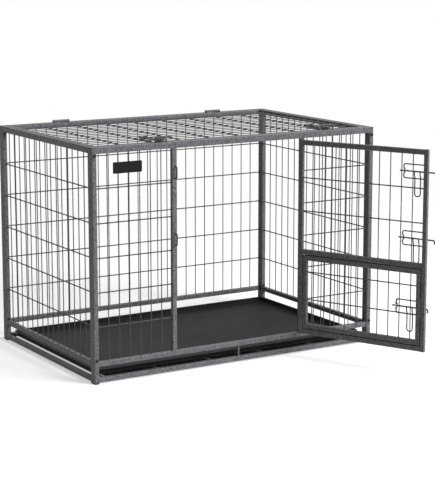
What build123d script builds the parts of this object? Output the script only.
"""Wire dog crate with a hinged front door, a feed hatch in it, a hinged lid and a slide-out tray.

Millimetres. The origin is on the floor at the middle of the footprint, the front is at -Y and Z is up.
The door stands open, as it is used when a dog walks in, so its pieces are drawn shut and then swung.
"""
import os

from build123d import *

os.makedirs("parts", exist_ok=True)

# Closed crate, outside
WIDTH = 1070
DEPTH = 700
HEIGHT = 750

# Square tubes of the walls and the lid
TUBE = 15
TOP_RAIL = 20
LOWER_RAIL = 16
WALL = 1.2
TUBE_RADIUS = 2
FOOT = 5
SLOT = 36

# Wires, welded where they cross
UPRIGHT_WIRE = 3.2
LEVEL_WIRE = 4
WELD_GAP = 0.05
FRONT_UPRIGHTS = 6
SIDE_UPRIGHTS = 15
REAR_UPRIGHTS = 25
WALL_LEVELS = 5
LID_LONG_COUNT = 15
LID_CROSS_COUNT = 8

# Corner bolts, stile caps and feet
BOLT_SHANK = 5
BOLT_HEAD = 8.5
BOLT_HEAD_HEIGHT = 5
BOLT_EDGE = 1
NUT_ACROSS = 8
NUT_HEIGHT = 4
BOLT_FROM_RAIL = 5
FIT = 0.2
THREAD_GAP = 0.05
CAP_DEPTH = 8
SPIGOT = 12

# Door and hatch, drawn shut
DOORWAY = 475
DOOR_OPEN = 115.2
DOOR_TUBE_DEPTH = 12
DOOR_RAIL = 17
DOOR_SIDE_GAP = 2.5
DOOR_SILL_GAP = 1.5
DOOR_HEAD_GAP = 2
CROSS_RAIL_Z = 345
HATCH_SIDE_GAP = 3
HATCH_LEVEL_GAP = 2.5
DOOR_UPRIGHTS = 10
DOOR_LEVELS = (492, 603)
HATCH_LEVELS = (193, 287)

# Barrel hinges
HINGE_BARREL = 9
HINGE_PIN = 5
PIN_CLEARANCE = 0.05
HINGE_LENGTH = 62
HATCH_HINGE_LENGTH = 46
HINGE_GAP = 0.6
LEAF_REACH = 11
LEAF_THICKNESS = 2.5
DOOR_HINGE_LOW = 60
DOOR_HINGE_HIGH = 78
HATCH_HINGES = (200, 292)
LID_HINGES = (-308, 308)
LID_GAP = 3

# Sliding bolts: a rod with a bent tip and a hanging loop handle
ROD = 5
ROD_FACE_GAP = 0.5
ROD_TAIL = 105
ROD_REACH = 24
TIP_DROP = 12
ROD_BEND = 4
HANDLE_WIRE = 4
HANDLE_WIDTH = 20
HANDLE_LENGTH = 81
HANDLE_FROM_EDGE = 34
HANDLE_STEP = 13
HANDLE_STEP_RUN = 5
HANDLE_GAP = 1
GUIDE_WIRE = 4
GUIDE_SPREAD = 45
GUIDE_END = 91
GUIDE_BEND = 6
ARCH_WIDTH = 16
ARCH_BEND = 2.6
ARCH_GAP = 0.7
BOLT_TRAVEL = 24
DOOR_BOLT_LOW = 76
DOOR_BOLT_HIGH = 74
HATCH_BOLT = 212
LID_BOLTS = (-290, 350)

# Staple keepers
KEEPER_WIRE = 4
KEEPER_HEIGHT = 13
KEEPER_SPREAD = 36
KEEPER_SHIFT = 1
KEEPER_BEND = 4
DOOR_KEEPER_REACH = 7

# Tray, its bars, the slot strut and the lid rests
TRAY_SIDE_GAP = 5
TRAY_END_GAP = 4
TRAY_DEPTH = 16
TRAY_SHEET = 2.5
TRAY_LIP = 7
TRAY_RADIUS = 22
TRAY_SEAT_GAP = 0.1
TRAY_FOLD = 3
TRAY_EDGE = 1
BAR = 6
BAR_COUNT = 6
BAR_FROM_END = 20
REST_WIDTH = 30
REST_REACH = 10
REST_THICKNESS = 3
REST_GAP = 0.3
REST_X = 200

# Planes and heights that the pieces share
x_wall = (WIDTH - TUBE) / 2
y_wall = (DEPTH - TUBE) / 2
x_in = WIDTH / 2 - TUBE
y_in = DEPTH / 2 - TUBE
y_side = y_in - TUBE
base_z = FOOT + TUBE / 2
lower_z = FOOT + TUBE + SLOT
sill = lower_z + LOWER_RAIL
head = HEIGHT - TOP_RAIL
bolt_heights = (sill + BOLT_FROM_RAIL, head - BOLT_FROM_RAIL)
bore = TUBE - 2 * WALL


def save(piece, name):
    """Label a finished piece and write it."""
    piece.part.label = name
    export_step(piece.part, f"parts/{name}.step")


def upright(x, y, z):
    """A section plane for a tube or wire that rises along Z."""
    return Plane((x, y, z))


def along_x(x, y, z):
    """A section plane for a tube that runs along X: its own x is Y and its own y is Z."""
    return Plane((x, y, z), x_dir=(0, 1, 0), z_dir=(1, 0, 0))


def along_y(x, y, z):
    """A section plane for a tube that runs along Y."""
    return Plane((x, y, z), x_dir=(1, 0, 0), z_dir=(0, 1, 0))


def tubes(planes, width, height, length):
    """Rounded hollow tubes of one section and length, one on each plane."""
    with BuildPart() as made:
        with BuildSketch(*planes):
            RectangleRounded(width, height, TUBE_RADIUS)
            Rectangle(width - 2 * WALL, height - 2 * WALL, mode=Mode.SUBTRACT)
        extrude(amount=length)
    return made


def spread(length, count):
    """Even places for a number of wires in an opening."""
    return [length * (n + 1) / (count + 1) for n in range(count)]


def wire_grid(panel, width, height, columns, levels):
    """Welded wires in an opening: panel's x runs across it, its y up it and its z outwards."""
    with BuildPart() as made:
        with BuildSketch(Plane(panel.origin, x_dir=panel.x_dir, z_dir=panel.y_dir)):
            with Locations(*[(x, -(UPRIGHT_WIRE + WELD_GAP) / 2) for x in columns]):
                Circle(UPRIGHT_WIRE / 2)
        extrude(amount=height)
        with BuildSketch(Plane(panel.origin, x_dir=panel.y_dir, z_dir=panel.x_dir)):
            with Locations(*[(y, -(LEVEL_WIRE + WELD_GAP) / 2) for y in levels]):
                Circle(LEVEL_WIRE / 2)
        extrude(amount=width)
    return made


def bent_wire(plane, points, radii, diameter):
    """One round wire bent along points given in a plane's own x, y and z."""
    with BuildPart() as made:
        with BuildLine(plane) as route:
            FilletPolyline(*points, radius=radii)
        with BuildSketch(Plane(route.line @ 0, z_dir=route.line % 0)):
            Circle(diameter / 2)
        sweep(path=route.line)
    return made


# Wall stiles, drilled for the corner bolts: each corner has one in a long wall and one in an end wall
y_end = y_in - TUBE / 2
stile_sets = {
    "front_stiles": [(-x_wall, -y_wall), (x_wall, -y_wall)],
    "rear_stiles": [(-x_wall, y_wall), (x_wall, y_wall)],
    "left_stiles": [(-x_wall, -y_end), (-x_wall, y_end)],
    "right_stiles": [(x_wall, -y_end), (x_wall, y_end)],
}
bolt_places = [(x, z) for x in (-x_wall, x_wall) for z in bolt_heights]
for name, places in stile_sets.items():
    with BuildPart() as stiles:
        with BuildSketch(*[upright(x, y, FOOT) for x, y in places]):
            RectangleRounded(TUBE, TUBE, TUBE_RADIUS)
            Rectangle(bore, bore, mode=Mode.SUBTRACT)
        extrude(amount=HEIGHT - FOOT)
        with BuildSketch(Plane.XZ):
            with Locations(*bolt_places):
                Circle(BOLT_SHANK / 2 + FIT)
        extrude(amount=DEPTH / 2, both=True, mode=Mode.SUBTRACT)
    save(stiles, name)

# Wall rails between the stiles
front_rear = (("front", -y_wall), ("rear", y_wall))
left_right = (("left", -x_wall), ("right", x_wall))
for row, low, tall in (("top", head, TOP_RAIL), ("lower", lower_z, LOWER_RAIL)):
    for wall, y in front_rear:
        save(tubes([along_x(-x_in, y, low + tall / 2)], TUBE, tall, 2 * x_in), f"{wall}_{row}_rail")
    for wall, x in left_right:
        save(tubes([along_y(x, -y_side, low + tall / 2)], TUBE, tall, 2 * y_side), f"{wall}_{row}_rail")
long_bases = [along_x(-x_in, y, base_z) for _, y in front_rear]
save(tubes(long_bases, TUBE, TUBE, 2 * x_in), "long_base_rails")
end_bases = [along_y(x, -y_side, base_z) for _, x in left_right]
save(tubes(end_bases, TUBE, TUBE, 2 * y_side), "end_base_rails")

# Posts beside the doorway
post_x = (DOORWAY + TUBE) / 2
for name, x in (("latch_post", -post_x), ("hinge_post", post_x)):
    save(tubes([upright(x, -y_wall, sill)], TUBE, TUBE, head - sill), name)

# Wire grids of the walls
wall_height = head - sill
wall_levels = spread(wall_height, WALL_LEVELS)
section = x_in - DOORWAY / 2 - TUBE
for name, x in (("front_left_wires", -x_in), ("front_right_wires", x_in - section)):
    panel = Plane((x, -y_wall, sill), x_dir=(1, 0, 0), z_dir=(0, -1, 0))
    save(wire_grid(panel, section, wall_height, spread(section, FRONT_UPRIGHTS), wall_levels), name)
rear_panel = Plane((x_in, y_wall, sill), x_dir=(-1, 0, 0), z_dir=(0, 1, 0))
rear_columns = spread(2 * x_in, REAR_UPRIGHTS)
save(wire_grid(rear_panel, 2 * x_in, wall_height, rear_columns, wall_levels), "rear_wires")
side_columns = spread(2 * y_side, SIDE_UPRIGHTS)
for name, side in (("left_wires", -1), ("right_wires", 1)):
    panel = Plane((side * x_wall, -side * y_side, sill), x_dir=(0, side, 0), z_dir=(side, 0, 0))
    save(wire_grid(panel, 2 * y_side, wall_height, side_columns, wall_levels), name)

# Corner bolts through a front or rear stile and the side stile behind it
bolt_faces = [
    Plane((x, side * DEPTH / 2, z), x_dir=(1, 0, 0), z_dir=(0, side, 0))
    for x in (-x_wall, x_wall)
    for side in (-1, 1)
    for z in bolt_heights
]
with BuildPart() as corner_bolts:
    with BuildSketch(*bolt_faces):
        Circle(BOLT_HEAD / 2)
    extrude(amount=BOLT_HEAD_HEIGHT)
    rims = corner_bolts.edges().filter_by(GeomType.CIRCLE).group_by(Axis.Y)
    chamfer(rims[0] + rims[-1], BOLT_EDGE)
    with BuildSketch(*bolt_faces):
        Circle(BOLT_SHANK / 2)
    extrude(amount=-(2 * TUBE + NUT_HEIGHT))
save(corner_bolts, "corner_bolts")

with BuildPart() as corner_nuts:
    with BuildSketch(*[face.offset(-2 * TUBE) for face in bolt_faces]):
        RegularPolygon(NUT_ACROSS / 2, 6, major_radius=False)
        Circle(BOLT_SHANK / 2 + THREAD_GAP, mode=Mode.SUBTRACT)
    extrude(amount=-NUT_HEIGHT)
save(corner_nuts, "corner_nuts")

# Plastic feet under the stile pairs and caps in the stile tops
corners = [(x, side * y_in) for x in (-x_wall, x_wall) for side in (-1, 1)]
stile_places = [(x, y + step) for x, y in corners for step in (-TUBE / 2, TUBE / 2)]
with BuildPart() as corner_feet:
    with BuildSketch():
        with Locations(*corners):
            RectangleRounded(TUBE, 2 * TUBE, TUBE_RADIUS)
    extrude(amount=FOOT)
    with BuildSketch(Plane.XY.offset(FOOT)):
        with Locations(*stile_places):
            Rectangle(bore - 2 * FIT, bore - 2 * FIT)
    extrude(amount=SPIGOT)
save(corner_feet, "corner_feet")

with BuildPart() as stile_caps:
    with BuildSketch(Plane.XY.offset(HEIGHT)):
        with Locations(*stile_places):
            Rectangle(bore - 2 * FIT, bore - 2 * FIT)
    extrude(amount=-CAP_DEPTH)
save(stile_caps, "stile_caps")

# Strut in the front slot, bars under the tray and the lid's rests
with BuildPart() as slot_strut:
    with BuildSketch(upright(0, -y_wall, FOOT + TUBE)):
        Circle(BAR / 2)
    extrude(amount=SLOT)
save(slot_strut, "slot_strut")

bar_top = FOOT + TUBE
bar_pitch = 2 * (x_in - BAR_FROM_END) / (BAR_COUNT - 1)
with BuildPart() as tray_bars:
    with BuildSketch(along_y(0, -y_in, bar_top - BAR / 2)):
        with GridLocations(bar_pitch, BAR, BAR_COUNT, 1):
            Circle(BAR / 2)
    extrude(amount=2 * y_in)
save(tray_bars, "tray_bars")

with BuildPart() as lid_rests:
    with BuildSketch(Plane.XY.offset(HEIGHT - TUBE - REST_GAP)):
        with Locations(*[(x, REST_REACH / 2 - y_in) for x in (-REST_X, REST_X)]):
            Rectangle(REST_WIDTH, REST_REACH)
    extrude(amount=-REST_THICKNESS)
save(lid_rests, "lid_rests")


# Hinges: a fixed half with the pin and a moving half that turns on it
def hinge_halves(axes, length):
    """Fixed and moving halves, one hinge on each plane.

    A plane's origin is the hinge's middle, its z is the axis, its x points to the fixed tube and its y
    to the faces that the leaves lie on.
    """
    leaf_y = HINGE_BARREL / 2 - LEAF_THICKNESS / 2
    half = (length - HINGE_GAP) / 2
    with BuildPart() as fixed:
        starts = [axis.offset(-length / 2) for axis in axes]
        with BuildSketch(*starts):
            Circle(HINGE_BARREL / 2)
            with Locations((LEAF_REACH / 2, leaf_y)):
                Rectangle(LEAF_REACH, LEAF_THICKNESS)
        extrude(amount=half)
        with BuildSketch(*starts):
            Circle(HINGE_PIN / 2)
        extrude(amount=length)
    with BuildPart() as moving:
        with BuildSketch(*[axis.offset(HINGE_GAP / 2) for axis in axes]):
            Circle(HINGE_BARREL / 2)
            with Locations((-LEAF_REACH / 2, leaf_y)):
                Rectangle(LEAF_REACH, LEAF_THICKNESS)
            Circle(HINGE_PIN / 2 + PIN_CLEARANCE, mode=Mode.SUBTRACT)
        extrude(amount=half)
    return fixed, moving


# Bolts, guides and keepers, drawn on a plane at the edge of the leaf that they lock: its origin is on
# the outer face, its x points out past the edge, its y to the handle's side and its z outwards
rod_z = ROD_FACE_GAP + ROD / 2
arch_z = rod_z + ROD / 2 + ARCH_GAP + GUIDE_WIRE / 2


def both_sides(half):
    """Half a bent wire's points, then their mirror image across the plane's x."""
    return half + [(x, -y, z) for x, y, z in reversed(half)]


def joined(wires):
    """One piece made of several bent wires."""
    with BuildPart() as made:
        for wire in wires:
            add(wire.part)
    return made


def sliding_bolt(edge):
    """Rod with a bent tip and the loop handle welded to it."""
    near = -HANDLE_FROM_EDGE
    far = near - HANDLE_WIDTH
    out = GUIDE_WIRE + HANDLE_GAP + HANDLE_WIRE / 2
    step = HANDLE_STEP + HANDLE_STEP_RUN
    tip_x = ROD_REACH - ROD / 2
    legs = [(0, rod_z), (HANDLE_STEP, rod_z), (step, out), (HANDLE_LENGTH, out)]
    loop = [(near, y, z) for y, z in legs] + [(far, y, z) for y, z in reversed(legs)]
    turn = HANDLE_WIDTH / 2 - WELD_GAP
    straight = [(-ROD_TAIL, 0, rod_z), (tip_x, 0, rod_z), (tip_x, TIP_DROP, rod_z)]
    rod = bent_wire(edge, straight, ROD_BEND, ROD)
    handle = bent_wire(edge, loop, [ARCH_BEND, ARCH_BEND, turn, turn, ARCH_BEND, ARCH_BEND], HANDLE_WIRE)
    return joined([rod, handle])


def bolt_guides(edges, stile):
    """Bent wire guide and a saddle on the stile for each bolt."""
    seat = (GUIDE_WIRE + WELD_GAP) / 2
    spread_y = GUIDE_SPREAD / 2
    arch_y = ARCH_WIDTH / 2
    weld_x = -stile / 2
    arm = [(weld_x, spread_y, seat), (-GUIDE_END, spread_y, seat)]
    rise = [(-GUIDE_END, arch_y, seat), (-GUIDE_END, arch_y, arch_z)]
    bends = [GUIDE_BEND, ARCH_BEND, ARCH_BEND]
    guide = both_sides(arm + rise)
    saddle = both_sides([(weld_x, arch_y, 0), (weld_x, arch_y, arch_z)])
    guides = [bent_wire(edge, guide, bends + bends[::-1], GUIDE_WIRE) for edge in edges]
    saddles = [bent_wire(edge, saddle, ARCH_BEND, GUIDE_WIRE) for edge in edges]
    return joined(guides + saddles)


def keepers(edges, reach):
    """Wire staple that each bolt's tip runs through."""
    top = KEEPER_HEIGHT - KEEPER_WIRE / 2
    low, high = KEEPER_SHIFT - KEEPER_SPREAD / 2, KEEPER_SHIFT + KEEPER_SPREAD / 2
    points = [(reach, low, 0), (reach, low, top), (reach, high, top), (reach, high, 0)]
    return joined([bent_wire(edge, points, KEEPER_BEND, KEEPER_WIRE) for edge in edges])


# Main door: hinge line in front of the gap beside the hinge post
door_edge = DOORWAY / 2 - DOOR_SIDE_GAP
door_face = -DEPTH / 2
door_y = door_face + DOOR_TUBE_DEPTH / 2
door_low = sill + DOOR_SILL_GAP
door_high = head - DOOR_HEAD_GAP
hinge_x = DOORWAY / 2 - DOOR_SIDE_GAP / 2
hinge_y = door_face - HINGE_BARREL / 2
door_swing = Pos(hinge_x, hinge_y, 0) * Rot(0, 0, DOOR_OPEN) * Pos(-hinge_x, -hinge_y, 0)


def swung(plane):
    """A plane of the shut door, carried to where the open door stands."""
    return Plane(door_swing * plane.location)


stile_x = door_edge - TUBE / 2
for name, x in (("door_free_stile", -stile_x), ("door_hinge_stile", stile_x)):
    save(tubes([swung(upright(x, door_y, door_low))], TUBE, DOOR_TUBE_DEPTH, door_high - door_low), name)

rail_start = door_edge - TUBE
door_rails = (
    ("door_bottom_rail", door_low),
    ("door_cross_rail", CROSS_RAIL_Z),
    ("door_top_rail", door_high - DOOR_RAIL),
)
for name, low in door_rails:
    plane = swung(along_x(-rail_start, door_y, low + DOOR_RAIL / 2))
    save(tubes([plane], DOOR_TUBE_DEPTH, DOOR_RAIL, 2 * rail_start), name)

upper_low = CROSS_RAIL_Z + DOOR_RAIL
upper_high = door_high - DOOR_RAIL
door_panel = swung(Plane((-rail_start, door_y, upper_low), x_dir=(1, 0, 0), z_dir=(0, -1, 0)))
door_columns = spread(2 * rail_start, DOOR_UPRIGHTS)
door_levels = [z - upper_low for z in DOOR_LEVELS]
door_grid = wire_grid(door_panel, 2 * rail_start, upper_high - upper_low, door_columns, door_levels)
save(door_grid, "door_wires")

hinge_heights = (door_low + DOOR_HINGE_LOW, door_high - DOOR_HINGE_HIGH)
door_axes = [Plane((hinge_x, hinge_y, z), x_dir=(1, 0, 0), z_dir=(0, 0, 1)) for z in hinge_heights]
save(hinge_halves(door_axes, HINGE_LENGTH)[0], "door_hinge_pins")
save(hinge_halves([swung(axis) for axis in door_axes], HINGE_LENGTH)[1], "door_hinge_knuckles")

lock_heights = (upper_low + DOOR_BOLT_LOW, door_high - DOOR_BOLT_HIGH)
door_bolt_edges = [
    Plane((-door_edge, door_face, z), x_dir=(-1, 0, 0), z_dir=(0, -1, 0)) for z in lock_heights
]
open_bolt_edges = [swung(edge) for edge in door_bolt_edges]
save(bolt_guides(open_bolt_edges, TUBE), "door_bolt_guides")
for name, edge in zip(("lower_bolt", "upper_bolt"), open_bolt_edges):
    save(sliding_bolt(edge), name)
save(keepers(door_bolt_edges, DOOR_KEEPER_REACH), "door_keepers")

# Feed hatch in the lower opening of the door
hatch_edge = rail_start - HATCH_SIDE_GAP
hatch_low = door_low + DOOR_RAIL + HATCH_LEVEL_GAP
hatch_high = CROSS_RAIL_Z - HATCH_LEVEL_GAP
hatch_stile_x = hatch_edge - TUBE / 2
hatch_planes = [swung(upright(x, door_y, hatch_low)) for x in (-hatch_stile_x, hatch_stile_x)]
save(tubes(hatch_planes, TUBE, DOOR_TUBE_DEPTH, hatch_high - hatch_low), "hatch_stiles")

hatch_start = hatch_edge - TUBE
hatch_rail_heights = (hatch_low + DOOR_RAIL / 2, hatch_high - DOOR_RAIL / 2)
hatch_planes = [swung(along_x(-hatch_start, door_y, z)) for z in hatch_rail_heights]
save(tubes(hatch_planes, DOOR_TUBE_DEPTH, DOOR_RAIL, 2 * hatch_start), "hatch_rails")

grid_low = hatch_low + DOOR_RAIL
grid_height = hatch_high - DOOR_RAIL - grid_low
hatch_panel = swung(Plane((-hatch_start, door_y, grid_low), x_dir=(1, 0, 0), z_dir=(0, -1, 0)))
hatch_columns = [x - (rail_start - hatch_start) for x in door_columns]
hatch_levels = [z - grid_low for z in HATCH_LEVELS]
save(wire_grid(hatch_panel, 2 * hatch_start, grid_height, hatch_columns, hatch_levels), "hatch_wires")

hatch_x = hatch_edge + HATCH_SIDE_GAP / 2
hatch_axes = [swung(Plane((hatch_x, hinge_y, z), x_dir=(1, 0, 0), z_dir=(0, 0, 1))) for z in HATCH_HINGES]
hatch_pins, hatch_knuckles = hinge_halves(hatch_axes, HATCH_HINGE_LENGTH)
save(hatch_pins, "hatch_hinge_pins")
save(hatch_knuckles, "hatch_hinge_knuckles")

hatch_bolt_edge = swung(Plane((-hatch_edge, door_face, HATCH_BOLT), x_dir=(-1, 0, 0), z_dir=(0, -1, 0)))
save(bolt_guides([hatch_bolt_edge], TUBE), "hatch_bolt_guide")
save(sliding_bolt(hatch_bolt_edge), "hatch_bolt")
save(keepers([hatch_bolt_edge], HATCH_SIDE_GAP + TUBE / 2), "hatch_keeper")

# Lid: a tube frame inside the top rails, hinged at the rear
lid_x = x_in - LID_GAP
lid_y = y_in - LID_GAP
lid_z = HEIGHT - TUBE / 2
for name, y in (("lid_front_tube", TUBE / 2 - lid_y), ("lid_rear_tube", lid_y - TUBE / 2)):
    save(tubes([along_x(-lid_x, y, lid_z)], TUBE, TUBE, 2 * lid_x), name)
side_start = lid_y - TUBE
side_planes = [along_y(x, -side_start, lid_z) for x in (TUBE / 2 - lid_x, lid_x - TUBE / 2)]
save(tubes(side_planes, TUBE, TUBE, 2 * side_start), "lid_side_tubes")

lid_long = 2 * (lid_x - TUBE)
lid_panel = Plane((lid_long / 2, -side_start, lid_z), x_dir=(0, 1, 0), z_dir=(0, 0, 1))
long_places = spread(2 * side_start, LID_LONG_COUNT)
cross_places = spread(lid_long, LID_CROSS_COUNT)
save(wire_grid(lid_panel, 2 * side_start, lid_long, long_places, cross_places), "lid_wires")

lid_hinge_y = y_in - LID_GAP / 2
lid_hinge_z = HEIGHT + HINGE_BARREL / 2
lid_axes = [Plane((x, lid_hinge_y, lid_hinge_z), x_dir=(0, 1, 0), z_dir=(-1, 0, 0)) for x in LID_HINGES]
lid_pins, lid_knuckles = hinge_halves(lid_axes, HINGE_LENGTH)
save(lid_pins, "lid_hinge_pins")
save(lid_knuckles, "lid_hinge_knuckles")

lid_edges = [Plane((x, -lid_y, HEIGHT), x_dir=(0, -1, 0), z_dir=(0, 0, 1)) for x in LID_BOLTS]
save(bolt_guides(lid_edges, TUBE), "lid_bolt_guides")
save(keepers(lid_edges, LID_GAP + TUBE / 2), "lid_keepers")
for name, edge in zip(("lid_bolt_left", "lid_bolt_right"), lid_edges):
    drawn_back = Plane(edge.origin - BOLT_TRAVEL * edge.x_dir, x_dir=edge.x_dir, z_dir=edge.z_dir)
    save(sliding_bolt(drawn_back), name)

# Tray: a thin pan with a turned-out lip, resting on its bars
tray_x = 2 * (x_in - TRAY_SIDE_GAP)
tray_y = 2 * (y_side - TRAY_END_GAP)
tray_low = bar_top + TRAY_SEAT_GAP
tray_rim = tray_low + TRAY_DEPTH
pan_radius = TRAY_RADIUS - TRAY_LIP
with BuildPart() as tray:
    with BuildSketch(Plane.XY.offset(tray_low)):
        RectangleRounded(tray_x - 2 * TRAY_LIP, tray_y - 2 * TRAY_LIP, pan_radius)
    extrude(amount=TRAY_DEPTH)
    with BuildSketch(Plane.XY.offset(tray_rim - TRAY_SHEET)):
        RectangleRounded(tray_x, tray_y, TRAY_RADIUS)
    extrude(amount=TRAY_SHEET)
    inside = 2 * (TRAY_LIP + TRAY_SHEET)
    with BuildSketch(Plane.XY.offset(tray_low + TRAY_SHEET)):
        RectangleRounded(tray_x - inside, tray_y - inside, pan_radius - TRAY_SHEET)
    extrude(amount=TRAY_DEPTH, mode=Mode.SUBTRACT)
    floors = tray.faces().filter_by(Axis.Z).sort_by(Axis.Z)
    fillet(floors[0].edges() + floors[1].edges(), TRAY_FOLD)
    fillet(tray.faces().sort_by(Axis.Z)[-1].edges(), TRAY_EDGE)
save(tray, "tray")
